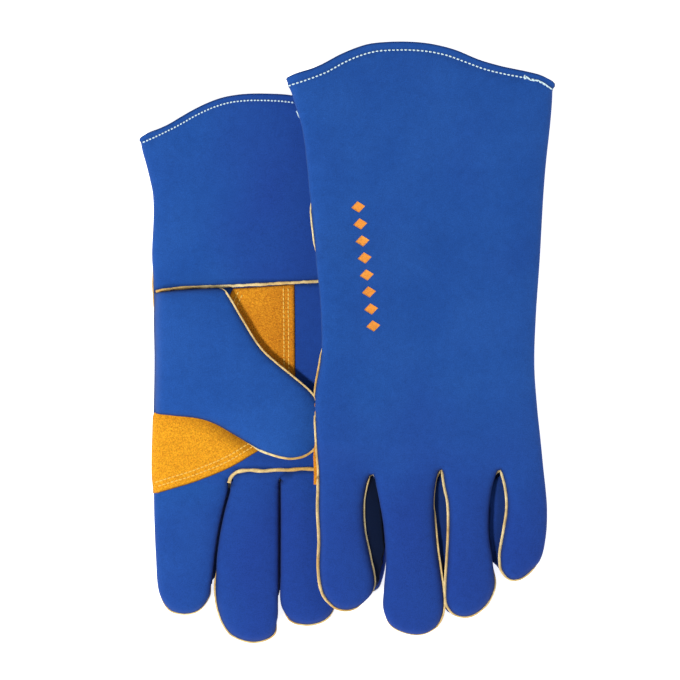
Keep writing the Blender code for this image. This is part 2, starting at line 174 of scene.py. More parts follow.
# Seam outlines, from the thumb side round to the other: the piece, how far its welt shows from above, how
# much the lower skin swells out to the next finger, and the points
RIGHT_SEAM = (
    ("thumb_side", 0.0, 0, ((-122.6, 118.8), (-121.5, 113.2), (-119.6, 106.6), (-117.2, 97), (-115.4, 88),
                            (-115.0, 75), (-116, 51))),
    ("thumb_side", 0.5, 0, ((-115.3, 35), (-114.9, 26))),
    ("thumb_side", 0.15, 0, ((-115.2, 15), (-114.8, -11), (-115.2, -40), (-116.0, -66), (-116.1, -80))),
    ("index", 0.15, 0, ((-115.2, -90), (-114.9, -104), (-113.8, -130), (-112.0, -150.4))),
    ("index", 0.45, 0, ((-106.2, -160.5), (-96.5, -163.6), (-87.3, -161))),
    ("index", 0.3, 0, ((-81.2, -153), (-80.2, -147))),
    ("index", 0.0, 1, ((-79.6, -141), (-78.5, -130), (-76.2, -114), (-73.2, -100), (-70.6, -90),
                       (-69.8, -84.6))),
    ("middle", 0.0, 0, ((-68.9, -83.6), (-69.2, -90), (-71.9, -100), (-74.9, -114), (-77.2, -131))),
    ("middle", 0.7, 0, ((-77.9, -149), (-75.8, -163))),
    ("middle", 0.6, 0, ((-69.9, -174.3), (-61, -179.3), (-51, -179.8), (-42.8, -175.5))),
    ("middle", 0.0, 0, ((-40.4, -166), (-40.3, -158))),
    ("middle", 0.0, 1, ((-40.2, -149), (-40.1, -125), (-40.0, -100), (-40.0, -88), (-39.7, -82.8))),
    ("ring", 0.0, 0, ((-39.0, -82.2), (-38.9, -90), (-38.8, -110), (-38.9, -140), (-38.7, -158))),
    ("ring", 0.6, 0, ((-32.8, -167.4), (-22, -169.8), (-11.6, -166.5))),
    ("ring", 0.3, 0, ((-6.0, -158),)),
    ("ring", 0.3, 1, ((-5.8, -145), (-7.2, -125), (-8.4, -105), (-8.8, -90), (-8.0, -81.4))),
    ("little", 0.3, 0, ((-6.8, -81), (-5.8, -90), (-5.2, -105), (-4.4, -125), (-2.4, -137.5))),
    ("little", 0.3, 0, ((4.4, -147.2), (13.2, -151.0), (20.6, -147.2))),
    ("little", 0.0, 0, ((24.2, -133), (24.2, -112), (22.6, -92))),
    ("little_side", 0.0, 0, ((20.6, -80), (17.4, -62), (14.6, -40), (13, -11), (15, 20), (20, 51), (25, 78),
                             (30, 102), (35, 121.5))),
)
RIGHT_MOUTH = ((35, 121.5), (24, 127.5), (8, 134.8), (-12, 142.7), (-33, 147.0), (-47.8, 147.9), (-60, 147.7),
               (-69.4, 146.5), (-75.5, 145.0), (-83.1, 142.1), (-90.7, 138.4), (-98.4, 134.0), (-106, 129.5),
               (-111.7, 126.9), (-117.4, 124.8), (-120.3, 123.1), (-122.1, 121.2), (-122.6, 118.8))

LEFT_SEAM = (
    ("thumb_side", 0.0, 0, ((-34.8, 154.8), (-34.3, 152.2), (-32.8, 149.5), (-30.2, 141.5), (-25.8, 126),
                            (-23.2, 106), (-21.9, 92), (-21.4, 86))),
    ("thumb_side", 0.55, 0, ((-20.6, 77.5), (-19.6, 68), (-18.6, 59))),
    ("thumb_side", 0.0, 0, ((-18.0, 50), (-16.2, 35), (-14.9, 20), (-14.4, 7), (-14.3, 0))),
    ("thumb_side", 0.7, 0, ((-15.2, -13), (-17.2, -24), (-18.2, -31.5))),
    ("thumb_side", 0.0, 0, ((-18.5, -36), (-18.3, -41.5))),
    ("thumb_side", 0.85, 0, ((-18.0, -47), (-16.9, -66), (-16.0, -77))),
    ("index", 1.7, 0, ((-15.8, -86), (-16.0, -101), (-15.2, -119), (-15.6, -137), (-13.0, -151))),
    ("index", 0.8, 0, ((-6.0, -159.0), (2, -160.6))),
    ("index", 0.2, 0, ((10, -157.3), (16.3, -150.5))),
    ("index", 0.6, 0.5, ((17.4, -143),)),
    ("index", 0.6, 1, ((14.6, -128), (11.4, -112), (10.9, -97), (12.4, -87), (14.6, -80.6))),
    ("middle", 0.1, 0, ((16.4, -80.2), (18.2, -87), (20.8, -100), (22.8, -113), (23.9, -132))),
    ("middle", 0.1, 0, ((22.7, -148), (22.3, -160))),
    ("middle", 0.35, 0, ((26.3, -169.6), (35.7, -174.8), (46, -175.6), (54.2, -171.2))),
    ("middle", 1.0, 0, ((58.4, -162), (58.6, -151), (56.6, -136), (54.4, -119))),
    ("middle", 0.3, 0, ((53.2, -99), (54.0, -87))),
    ("middle", 0.3, 1, ((56.2, -77.6),)),
    ("ring", 1.4, 1.3, ((57.8, -77.2), (59.6, -87))),
    ("ring", 1.4, 1, ((61.6, -97), (62.0, -111), (61.2, -129), (60.2, -146), (60.6, -157))),
    ("ring", 0.6, 0, ((64.8, -163), (71.5, -165), (79, -162.5))),
    ("ring", 0.6, 0, ((86, -155.5), (89.4, -146))),
    ("ring", 0.1, 0, ((88.6, -133), (86.0, -116), (86.4, -98), (88.2, -87))),
    ("ring", 0.1, 1, ((91.4, -77.6),)),
    ("little", 1.4, 1.3, ((93, -77.4), (96.0, -87))),
    ("little", 1.4, 1, ((97.0, -100), (95.0, -114), (92.9, -126), (92.8, -131.5))),
    ("little", 1.4, 0, ((93.8, -137.5),)),
    ("little", 0.6, 0, ((98.7, -142.6), (105, -142.2), (111, -137.8))),
    ("little", 0.0, 0, ((116.8, -131.3), (120.2, -116), (120.8, -100), (119.8, -87))),
    ("little_side", 0.0, 0, ((118.8, -78), (116.9, -59), (114.9, -40), (113.2, -14.4), (114.1, 15),
                             (116.5, 50), (118.4, 84), (120.0, 105), (122.7, 130), (123.7, 141.8),
                             (124.1, 150.6))),
)
LEFT_MOUTH = ((124.1, 150.6), (124, 153.8), (122.3, 156), (119.0, 158), (115.1, 159.5), (108.4, 161.1),
              (100.4, 162.7), (92.4, 164.4), (79.9, 168.0), (65.0, 174.0), (50.1, 177.5), (35.3, 178.6),
              (20.4, 178.0), (11.1, 176.4), (-2.0, 171.3), (-13.8, 165.0), (-20.5, 162.2), (-27.1, 160.2),
              (-31.7, 158.5), (-34.2, 156.8), (-34.8, 154.8))

# The wing thumb, folded flat on the palm: the same pattern on both gloves, drawn on the right one
THUMB_BASE = ((-115.1, 28.6), (-114.5, 10), (-113.9, -10), (-114.1, -28), (-114.6, -42.6))
# How far the welt shows, and the points, from the fold near the fingers round to the wrist
THUMB_EDGE = (
    (0.0, ((-113.4, -43.4), (-104, -44.6), (-87.8, -46.4), (-78, -49.6), (-69.4, -54.4), (-57, -61.8))),
    (0.9, ((-50, -65.8), (-34.1, -70.2), (-24, -68.4), (-16.6, -62), (-13.2, -52), (-14.6, -40))),
    (0.85, ((-20.5, -30.9), (-30.4, -22.1), (-40.4, -14.0), (-50.9, -4.2), (-62.5, 14.0), (-71.4, 29.0))),
    (0.0, ((-74.6, 31.4), (-93, 30.9), (-110, 29.4))),
)
THUMB_LIFT = 2.0
THUMB_GAP = 0.15
THUMB_SEAM_LEVEL = (0.25, 0.6)
THUMB_BEND_LENGTH = 26.0

# Gold palm patch, drawn on the right palm, with its corners and the stretches that are sewn down
PATCH = ((-67.0, 31.0), (-50, 32.0), (-30.9, 33.4), (-30.7, 12), (-30.6, -12), (-30.6, -34), (-33.6, -49),
         (-42, -58.5), (-53.3, -65.8), (-69.2, -75.2), (-89.4, -83.5), (-104, -88), (-114.6, -91.2),
         (-115.2, -78), (-114.3, -60), (-113.2, -43), (-111.5, -28), (-94, -8.4), (-77.5, 11.6))
PATCH_SHARP = (0, 2, 8, 12, 16)
PATCH_SEWN = ((2, 12), (16, 19))
# The stretch from this corner lies in the thumb-side seam, and draws in where it passes under the thumb
PATCH_EDGE = 12
PATCH_UNDER_THUMB = ((-43.6, -41.0), (0.5, 4.0))
PATCH_SIDE_SHOWS = (-86.0, -60.0)
PATCH_THICKNESS = 1.15
PATCH_STITCH_ROWS = (3.4, 6.2)
# How far the patch's free edges flare out, so that their fully darkened side wall shows from above as a
# painted-shade outline
PATCH_FLARE = 0.6
# Darkness and width of the painted shadow that the thumb's fold casts on the patch, and of the painted shade
# along its cut edge
THUMB_SHADOW_SHADE = (0.66, 6.0)
CUT_SHADE = (0.35, 0.4)

# Sewn lines across the palm, drawn on the right glove
WRIST_SEAM = np.array(((-115.0, 29.6), (-104, 31.2), (-93, 32.2), (-72.7, 32.8), (-45, 34.2), (-15.8, 35.8),
                       (16.6, 36.4)))
FINGER_SEAM = np.array(((-69.8, -85.0), (-68.5, -81.4), (-64.7, -78.3), (-57, -77.3), (-49.4, -77.8),
                        (-41.8, -77.1), (-34.1, -77.1), (-25, -76.4), (-16, -77.2), (-8.4, -80.6)))

# Printed mark on the back of the left glove: a column of diamonds, by half their length and width
MARK_ENDS = np.array(((7.5, 80.0), (16.5, 9.0)))
MARK_COUNT = 8
MARK_HALF = (3.4, 4.2)
MARK_THICKNESS = 0.12

# Ends of thread that lie loose on the upper side of the cuff
LEFT_THREADS = (
    ((108.6, 158.2), (110.2, 156.4), (112.2, 155.8), (114.8, 156.0), (118.6, 154.2), (121.0, 152.6),
     (124.2, 150.2)),
    ((107.5, 159.2), (106.8, 158.2), (107.2, 156.8), (108.2, 157.2), (108.0, 158.6)),
    ((-29.4, 137.2), (-28.4, 135.0), (-27.6, 133.2)),
)

# Each glove: its outline, its lie, how its palm's parts are moved from the right one's, and its trim
GLOVES = (
    SimpleNamespace(
        name="right", seam=RIGHT_SEAM, mouth=RIGHT_MOUTH, palm_up=True, bend_y=-85.4, wrist_y=32.5,
        crest_y=147.7, widest_gap=2.4, shift=np.array((0.0, 0.0)), finger_shift=np.array((0.0, 0.0)),
        thumb_puff=11.0, hem=(4.6, 3.3), hem_ends=((34.0, 117.5), (-122.3, 118.4)), stitch_pitch=2.05,
        loose_threads=()),
    SimpleNamespace(
        name="left", seam=LEFT_SEAM, mouth=LEFT_MOUTH, palm_up=False, bend_y=-81.2, wrist_y=40.0,
        crest_y=178.8, widest_gap=12.0, shift=np.array((98.5, 7.5)), finger_shift=np.array((96.0, 4.5)),
        thumb_puff=8.6, hem=(3.6, 5.6), hem_ends=((124.0, 150.4), (-33.9, 152.2)), stitch_pitch=2.45,
        loose_threads=LEFT_THREADS),
)


# ---------------------------------------------------------------- materials

def principled(name, colour, roughness, sheen=0.0, specular=0.25):
    material = bpy.data.materials.new(name)
    material.use_nodes = True
    shader = material.node_tree.nodes["Principled BSDF"]
    for socket, value in (("Base Color", (*colour, 1.0)), ("Roughness", roughness), ("Sheen Weight", sheen),
                          ("Sheen Roughness", 0.6), ("Specular IOR Level", specular)):
        shader.inputs[socket].default_value = value
    return material, shader


def add_node(tree, kind, inputs=None, **settings):
    """A new shader node: its settings, then each input, linked where it is given a socket."""
    node = tree.nodes.new(f"ShaderNode{kind}")
    for setting, value in settings.items():
        setattr(node, setting, value)
    for socket, value in (inputs or {}).items():
        if isinstance(value, bpy.types.NodeSocket):
            tree.links.new(value, node.inputs[socket])
        else:
            node.inputs[socket].default_value = value
    return node


def object_place(tree):
    return add_node(tree, "TexCoord").outputs["Object"]


def noise_texture(tree, place, scale, detail, roughness=0.6):
    inputs = {"Vector": place, "Scale": scale, "Detail": detail, "Roughness": roughness}
    return add_node(tree, "TexNoise", inputs).outputs["Fac"]


def colour_ramp(tree, value, stops):
    ramp = add_node(tree, "ValToRGB", {"Fac": value})
    for element, (place, colour) in zip(ramp.color_ramp.elements, stops):
        element.position = place
        element.color = (*colour, 1.0)
    return ramp.outputs["Color"]


def multiply(tree, first, second):
    inputs = {"Factor": 1.0, "A": first, "B": second}
    return add_node(tree, "Mix", inputs, data_type="RGBA", blend_type="MULTIPLY").outputs["Result"]


def mix_where(tree, attribute, colour, other):
    """Mixes in another colour as far as the mesh's attribute says."""
    amount = add_node(tree, "Attribute", attribute_name=attribute).outputs["Fac"]
    inputs = {"Factor": amount, "A": colour, "B": (*other, 1.0)}
    return add_node(tree, "Mix", inputs, data_type="RGBA").outputs["Result"]


def add_bump(tree, shader, height, strength, distance):
    bump = add_node(tree, "Bump", {"Height": height, "Strength": strength, "Distance": distance})
    tree.links.new(bump.outputs["Normal"], shader.inputs["Normal"])


def suede(name, dark, light, nap=(0.86, 1.10), bump=0.35, sheen=0.18, mottle_scale=210.0,
          grain=((0.76,) * 3, (1.20,) * 3), other=None):
    """Split leather: broad cloudy dye, a finer mottle, a short nap that catches the light, and painted shade
    in creases.
    """
    material, shader = principled(name, light, 0.92, sheen=sheen, specular=0.12)
    tree = material.node_tree
    place = object_place(tree)
    cloud = noise_texture(tree, place, 26.0, 4.0, 0.55)
    shaded = colour_ramp(tree, cloud, ((0.36, dark), (0.64, light)))
    # A second colour, mixed in as far as the mesh says: partly a tint of the leather, partly painted light
    # and shade
    if other:
        shaded = mix_where(tree, "tint_and_shade", shaded, other)
    mottle = noise_texture(tree, place, mottle_scale, 5.0, 0.65)
    nap_grain = noise_texture(tree, place, 1500.0, 3.0, 0.7)
    shaded = multiply(tree, shaded, colour_ramp(tree, mottle, ((0.30, (nap[0],) * 3), (0.72, (nap[1],) * 3))))
    shaded = multiply(tree, shaded, colour_ramp(tree, nap_grain, ((0.28, grain[0]), (0.75, grain[1]))))
    # Painted shade in seams and creases, as far as the mesh's seam shade says
    shaded = mix_where(tree, "seam_shade", shaded, tuple(part * PAINTED_SHADE_SHARE for part in dark))
    tree.links.new(shaded, shader.inputs["Base Color"])
    height = add_node(tree, "Math", {0: mottle, 1: 0.5, 2: nap_grain}, operation="MULTIPLY_ADD")
    add_bump(tree, shader, height.outputs[0], bump, 0.0006)
    return material


def cotton(name, dark, light):
    """Brushed cotton: a fine crossed weave under a fuzzy nap."""
    material, shader = principled(name, light, 0.97, sheen=0.3, specular=0.1)
    tree = material.node_tree
    place = object_place(tree)
    yarn = {"Vector": place, "Scale": 320.0, "Distortion": 1.5, "Detail": 1.0}
    across, along = (add_node(tree, "TexWave", yarn, bands_direction=axis).outputs["Fac"] for axis in "XY")
    weave = add_node(tree, "Math", {0: across, 1: along}, operation="MULTIPLY")
    base = colour_ramp(tree, noise_texture(tree, place, 700.0, 4.0), ((0.3, dark), (0.7, light)))
    tree.links.new(base, shader.inputs["Base Color"])
    add_bump(tree, shader, weave.outputs[0], 0.4, 0.0003)
    return material


def thread(name, colour):
    """Twisted sewing thread: fine slanting ridges."""
    material, shader = principled(name, colour, 0.6, sheen=0.1, specular=0.3)
    tree = material.node_tree
    inputs = {"Vector": object_place(tree), "Scale": 900.0}
    twist = add_node(tree, "TexWave", inputs, bands_direction="DIAGONAL").outputs["Fac"]
    dark = tuple(part * 0.72 for part in colour)
    tree.links.new(colour_ramp(tree, twist, ((0.2, dark), (0.7, colour))), shader.inputs["Base Color"])
    return material


def make_materials():
    # The blue's darker violet: partly a tint of the leather and partly painted shade
    violet = (0.0122, 0.0475, 0.268)
    return {
        "blue": suede("blue_suede", (0.0116, 0.070, 0.310), (0.0148, 0.080, 0.336),
                      nap=(0.93, 1.05), sheen=0.03, other=violet),
        "blue_palm": suede("blue_suede_palm", (0.0116, 0.066, 0.300), (0.0148, 0.076, 0.328),
                           nap=(0.93, 1.05), sheen=0.03, other=violet),
        # The gold's second colour is lighter: painted light on the patch's part out from under the thumb
        "gold": suede("gold_suede", (0.69, 0.235, 0.009), (0.86, 0.330, 0.013),
                      nap=(0.70, 1.18), bump=0.9, sheen=0.03, mottle_scale=760.0,
                      grain=((0.57, 0.41, 0.42), (1.22, 1.44, 1.8)), other=(0.94, 0.385, 0.012)),
        "welt": suede("welt_leather", (0.74, 0.43, 0.11), (1.0, 0.82, 0.43), nap=(0.66, 1.10), bump=0.5),
        "lining": cotton("cotton_lining", (0.50, 0.47, 0.39), (0.70, 0.67, 0.58)),
        "white": thread("white_thread", (0.74, 0.95, 1.0)),
        "yellow": thread("yellow_thread", (0.98, 0.60, 0.09)),
        "print": suede("orange_print", (0.80, 0.25, 0.03), (0.95, 0.36, 0.05), nap=(0.85, 1.05)),
    }


# ---------------------------------------------------------------- outlines and flat patterns

def clamp(amount):
    return np.clip(amount, 0, 1)


def smooth_step(amount):
    amount = clamp(amount)
    return amount * amount * (3 - 2 * amount)


def bell(distance, width):
    return np.exp(-((distance / width) ** 2))


def band(distance, size):
    """A band along a line, by its depth or darkness and its width."""
    return size[0] * bell(distance, size[1])


def line_noise(places, row, seed):
    """Smooth noise from -1 to 1 along a line."""
    return np.array([noise.noise(Vector((place, row, seed))) for place in places])


def lengths_along(line):
    return np.concatenate([[0], np.cumsum(np.linalg.norm(np.diff(line, axis=0), axis=1))])


def smooth_path(points, spacing, *values):
    """An even run of points on a cubic curve through the given ones, with values carried along."""
    points = np.array(points, float)
    lengths = lengths_along(points)
    last = len(points) - 1
    before, after = np.maximum(np.arange(last + 1) - 1, 0), np.minimum(np.arange(last + 1) + 1, last)
    tangents = (points[after] - points[before]) / (lengths[after] - lengths[before])[:, None]
    count = max(3, int(round(lengths[-1] / spacing)))
    places = np.linspace(0, lengths[-1], count + 1)
    index = np.clip(np.searchsorted(lengths, places, side="right") - 1, 0, last - 1)
    span = (lengths[index + 1] - lengths[index])[:, None]
    t = (places - lengths[index])[:, None] / span
    curve = ((2 * t**3 - 3 * t**2 + 1) * points[index] + (t**3 - 2 * t**2 + t) * span * tangents[index]
             + (3 * t**2 - 2 * t**3) * points[index + 1] + (t**3 - t**2) * span * tangents[index + 1])
    return (curve, *[np.interp(places, lengths, value) for value in values]) if values else curve


def unroll(stretches):
    """The values of each stretch, repeated at each of its points, and then the points themselves."""
    return zip(*[(*values, spot) for *values, spots in stretches for spot in spots])


def seam_outline(stretches, spacing):
    """The seam's points, how far each shows, how far the lower skin swells there, and the piece it is in."""
    labels, shows, swells, points = unroll(stretches)
    path, show, swell, rank = smooth_path(points, spacing, shows, swells, np.arange(len(points)))
    return path, show, swell, [labels[int(round(place))] for place in rank]


def path_normals(path, closed):
    """Unit normals pointing to the left of the path's direction."""
    if closed:
        along = np.roll(path, -1, axis=0) - np.roll(path, 1, axis=0)
    else:
        along = np.gradient(path, axis=0)
    along /= np.maximum(np.linalg.norm(along, axis=1, keepdims=True), 1e-9)
    return np.stack([-along[:, 1], along[:, 0]], axis=1)


def nearest_on_path(spots, path, closed=True):
    """Distance to a path, the nearest point on it and the index of the segment's start."""
    start = path if closed else path[:-1]
    step = (np.roll(path, -1, axis=0) if closed else path[1:]) - start
    size = np.maximum((step**2).sum(1), 1e-12)
    distance, foot, segment = [], [], []
    for chunk in np.array_split(spots, max(1, len(spots) // 800)):
        offset = chunk[:, None] - start[None]
        t = clamp((offset * step[None]).sum(2) / size[None])
        near = start[None] + t[:, :, None] * step[None]
        gaps = np.linalg.norm(chunk[:, None] - near, axis=2)
        best = gaps.argmin(1)
        rows = np.arange(len(chunk))
        distance.append(gaps[rows, best])
        foot.append(near[rows, best])
        segment.append(best)
    return np.concatenate(distance), np.concatenate(foot), np.concatenate(segment)


def gap_to(spots, path, closed=True):
    return nearest_on_path(spots, path, closed)[0]


def is_inside(spots, path):
    """Even-odd test against a closed path."""
    inside = np.zeros(len(spots), bool)
    x, y = spots[:, 0], spots[:, 1]
    following = np.roll(path, -1, axis=0)
    for (x1, y1), (x2, y2) in zip(path, following):
        crosses = (y1 > y) != (y2 > y)
        inside ^= crosses & (x < (x2 - x1) * (y - y1) / (y2 - y1 + 1e-12) + x1)
    return inside


def hex_grid(low, high, spacing):
    rows = []
    for number, y in enumerate(np.arange(low[1], high[1], spacing * HEX_ROW)):
        x = np.arange(low[0], high[0], spacing) + (spacing / 2 if number % 2 else 0)
        rows.append(np.stack([x, np.full(len(x), y)], axis=1))
    return np.vstack(rows)


def flat_mesh(outline, detail, ring_count=None, extra=()):
    """Triangles inside a closed outline, fine near its edge."""
    inward = path_normals(outline, True)
    count = len(outline) if ring_count is None else ring_count
    spots = []
    for distance in detail.rings:
        ring = outline[:count] + inward[:count] * distance
        gap = gap_to(ring, outline)
        keep = (gap > 0.9 * distance) & is_inside(ring, outline)
        spots.append(ring[keep])
    grid = hex_grid(outline.min(0), outline.max(0), detail.grid)
    grid = grid[is_inside(grid, outline)]
    gap, _, segment = nearest_on_path(grid, outline)
    clear = np.where(segment < count, detail.clear, detail.grid * 0.5)
    spots.append(grid[gap > clear])
    points = np.vstack([outline] + spots + [np.array(item) for item in extra])
    edges = [(index, (index + 1) % len(outline)) for index in range(len(outline))]
    first = len(points) - sum(len(item) for item in extra)
    for item in extra:
        edges += [(first + index, first + index + 1) for index in range(len(item) - 1)]
        first += len(item)
    result = geometry.delaunay_2d_cdt([Vector(point) for point in points], edges, [], 1, 1e-4)
    vertices = np.array([tuple(point) for point in result[0]])
    triangles = np.array([face for face in result[2] if len(face) == 3])
    sides = vertices[triangles]
    area = np.cross(sides[:, 1] - sides[:, 0], sides[:, 2] - sides[:, 0])
    triangles[area < 0] = triangles[area < 0][:, ::-1]
    return vertices, triangles


def puff_profile(vertices, triangles, fixed):
    """Round height of a puffed skin, 0 where it is fixed and near 1 far from there.

    It comes from u - PUFF_LENGTH^2 laplacian(u) = 1 with u = 0 where fixed, solved by conjugate gradients.
    """
    corner = vertices[triangles]
    total = len(vertices)
    mass = np.zeros(total)
    area = np.abs(np.cross(corner[:, 1] - corner[:, 0], corner[:, 2] - corner[:, 0])) / 2
    starts, ends, weights = [], [], []
    for index in range(3):
        here, one, two = triangles[:, index], triangles[:, (index + 1) % 3], triangles[:, (index + 2) % 3]
        to_one, to_two = vertices[one] - vertices[here], vertices[two] - vertices[here]
        cotangent = (to_one * to_two).sum(1) / np.maximum(2 * area, 1e-9)
        starts.append(one)
        ends.append(two)
        weights.append(np.clip(cotangent / 2, 0.01, 5.0))
        mass += np.bincount(here, area / 3, total)
    start, end, weight = (np.concatenate(part) for part in (starts, ends, weights))
    weight = weight * PUFF_LENGTH**2
    free = ~fixed

    def apply(u):
        flow = weight * (u[start] - u[end])
        return (mass * u + np.bincount(start, flow, total) - np.bincount(end, flow, total)) * free

    diagonal = mass + np.bincount(start, weight, total) + np.bincount(end, weight, total)
    u = np.zeros(total)
    residual = mass * free
    ready = residual / diagonal
    step = ready.copy()
    energy = (residual * ready).sum()
    for _ in range(SOLVER_STEPS):
        pushed = apply(step)
        amount = energy / max((step * pushed).sum(), 1e-20)
        u += amount * step
        residual = residual - amount * pushed
        ready = residual / diagonal
        fresh = (residual * ready).sum()
        if fresh < SOLVER_LIMIT * total:
            break
        step = ready + fresh / energy * step
        energy = fresh
    u = clamp(u)
    return np.sqrt(u * (2 - u))


def bench_slope(y):
    """Sideways slope of the left glove at places along it."""
    slope = np.full(np.shape(y), SLOPES[0][1])
    for (start, low), (end, high) in zip(SLOPES, SLOPES[1:]):
        slope = slope + (high - low) * smooth_step((y - start) / (end - start))
    return slope


def lay(glove, points):
    """Flat-pattern points in millimetres, moved to their place in metres; the left glove lies on a slope."""
    points = np.array(points, float)
    if not glove.palm_up:
        points[:, 2] += (BENCH_LINE_X - points[:, 0]) * bench_slope(points[:, 1])
    return (points + np.array(SHIFT)) * MM


def soft_noise(points, scale, seed):
    """Smooth noise from -1 to 1 at 2D points, scale in millimetres."""
    return np.array([noise.noise(Vector((x / scale, y / scale, seed))) for x, y in points[:, :2]])


# ---------------------------------------------------------------- glove skins

def glove_field(glove, detail):
    """The glove's flat pattern with everything the skins need at each vertex."""
    fine = detail is FINE
    seam, show, swell, labels = seam_outline(glove.seam, detail.path)
    mouth = smooth_path(glove.mouth, detail.path * 1.1)
    outline = np.vstack([seam, mouth[1:-1]])
    extra = []
    if fine:
        wrist = smooth_path(WRIST_SEAM + glove.shift, 3.0)
        extra.append(wrist[is_inside(wrist, outline) & (gap_to(wrist, outline) > 2.0)])
    vertices, triangles = flat_mesh(outline, detail, None if fine else len(seam), extra)
    distance, _, segment = nearest_on_path(vertices, seam, closed=False)
    mouth_gap = gap_to(vertices, mouth, closed=False)
    outward = -path_normals(seam, False)
    if fine:
        show = smooth_along(show, 9)
        swell = smooth_along(swell * gap_beyond(seam, outward, outline, glove.widest_gap), 5)
    else:
        swell = np.zeros(len(seam))
    return SimpleNamespace(
        xy=vertices, triangles=triangles, distance=distance, segment=segment, seam=seam, show=show,
        swell=swell, labels=labels, outward=outward, mouth=mouth, mouth_gap=mouth_gap,
        on_mouth=mouth_gap < ON_LINE, profile=puff_profile(vertices, triangles, distance < ON_LINE),
        hem=hem_line(glove, mouth))


def gap_beyond(seam, outward, outline, widest):
    """How far the lower skin has to swell at each seam point to reach under the next finger."""
    gap = np.zeros(len(seam))
    reached = np.zeros(len(seam), bool)
    for step in np.arange(0.3, 12.0, 0.15):
        reached |= is_inside(seam + outward * step, outline)
        gap[~reached] = step
    return np.minimum(np.where(reached, gap + SWELL_UNDER, CROTCH_SWELL), widest)


def smooth_along(values, width):
    kernel = np.hanning(width + 2)[1:-1]
    return np.convolve(np.pad(values, width // 2, mode="edge"), kernel / kernel.sum(), mode="valid")


def hem_line(glove, mouth):
    """The line that the cuff's hem is sewn along, from side edge to side edge."""
    offset = np.linspace(*glove.hem, len(mouth))[:, None]
    line = mouth + path_normals(mouth, False) * offset
    start, end = glove.hem_ends
    clear = (mouth[:, 0] < start[0] - HEM_CLEAR) & (mouth[:, 0] > end[0] + HEM_CLEAR)
    for spot in glove.hem_ends:
        clear &= np.linalg.norm(line - spot, axis=1) > HEM_CLEAR
    return smooth_path([start, *line[clear][::6], end], 1.5)


def height_of(glove, y, side):
    """Full height of the upper or lower skin over the middle plane."""
    if side < 0:
        return np.full(np.shape(y), UNDERSIDE + UNDER_PUFF)
    cuff = smooth_step((y - glove.wrist_y) / (glove.crest_y - glove.wrist_y))
    finger = smooth_step((glove.bend_y + FINGER_RISE[0] - y) / FINGER_RISE[1])
    return HAND_TOP + (CUFF_TOP - HAND_TOP) * cuff + (FINGER_TOP - HAND_TOP) * finger


def seam_height(show):
    return np.interp(show, *SEAM_HEIGHT)


def tucked_under(show):
    return clamp(1 - show / TUCKED_BELOW)


def swollen(field):
    return clamp(field.swell[field.segment] / SWELL_FULL)


def skin_rise(field, side, full):
    """How far a skin puffs away from the seam's plane: a round back above, a flat underside below."""
    rise = full * field.profile
    if side > 0:
        return rise * (1 - clamp(field.show[field.segment]) * band(field.distance, WELT_DIP))
    rate, flat_at = FLATTENING
    rise = UNDERSIDE * (1 - np.exp(-rise / UNDERSIDE * rate)) / (1 - math.exp(-rate * flat_at))
    rise = np.minimum(rise, UNDERSIDE - SEAM_GAP)
    return rise * (1 - swollen(field) * band(field.distance, SWELL_DIP))


def sideways_pull(field, side):
    """How far a skin is drawn in from the outline beside a seam, or out past it where it swells."""
    distance = field.distance
    tucked = tucked_under(field.show[field.segment])
    if side > 0:
        return tucked * (np.interp(distance, *TUCK) - np.minimum(distance, TUCK[0][-1]))
    swell = field.swell[field.segment]
    drawn = tucked * 1.3 * np.exp(-distance / 3.0) * clamp(1 - swell)
    return drawn - (swell + np.minimum(distance, 1.8) * clamp(swell)) * np.interp(distance, *SWELL)


def skin_points(glove, field, side, inset=0.0):
    """One skin of the glove on the flat pattern, side 1 above or -1 below; inset is for the lining."""
    distance = field.distance
    outward = field.outward[field.segment]
    full = height_of(glove, field.xy[:, 1], side)
    rise = skin_rise(field, side, full)
    edge = seam_height(field.show[field.segment]) * np.exp(-distance / SEAM_REACH)
    z = MIDDLE + side * (SEAM_GAP + rise) + edge * (1 - rise / full.max())
    xy = field.xy - outward * (sideways_pull(field, side) * ~field.on_mouth)[:, None]
    z += side * relief(glove, field, xy, side) * clamp(rise / 3.0)
    z -= side * band(gap_to(field.xy, field.hem, closed=False), HEM_GROOVE) * clamp(rise / 2.0)
    if side < 0:
        z = np.maximum(z, BENCH_GAP + band(field.mouth_gap, MOUTH_LIFT))
    if inset:
        z -= side * np.minimum(inset, np.maximum(rise - 0.2, 0.0))
        if side > 0:
            z -= np.where(xy[:, 1] < glove.bend_y + 15, 2.4, 0.0) * bell(distance, 4.5)
        xy -= outward * (np.exp(-distance / 6.0) * inset)[:, None]
    return np.column_stack([xy, z])


def crevice_shade(field):
    """Painted shade on the lower skin where it swells up between two fingers."""
    depth = np.array([CREVICE_SHADE.get(label, 0.0) for label in field.labels])[field.segment]
    reach, fade = CREVICE_REACH
    return depth * swollen(field) * clamp((reach - field.distance) / fade)


def seam_shade(field):
    """Painted shade at each vertex: strongest in the crease along a seam and on the rolled edge of the cuff.
    """
    edges = np.maximum(band(field.distance, SEAM_SHADE), band(field.mouth_gap, RIM_SHADE))
    return clamp(edges + band(gap_to(field.xy, field.hem, closed=False), HEM_SHADE))


def violet_lean_and_shade(glove, xy):
    """How far the colour leans to a darker violet, partly a tint of the leather and partly painted shade:
    more along the palm's far side and towards the fingertips.
    """
    if glove.palm_up:
        lean = 0.7 * smooth_step((xy[:, 0] + 96) / 55) + 0.45 * smooth_step((-85 - xy[:, 1]) / 45)
    else:
        lean = 0.95 * smooth_step((-5 - xy[:, 1]) / 125)
    return clamp(lean + 0.22 * soft_noise(xy, 30.0, 17.0))


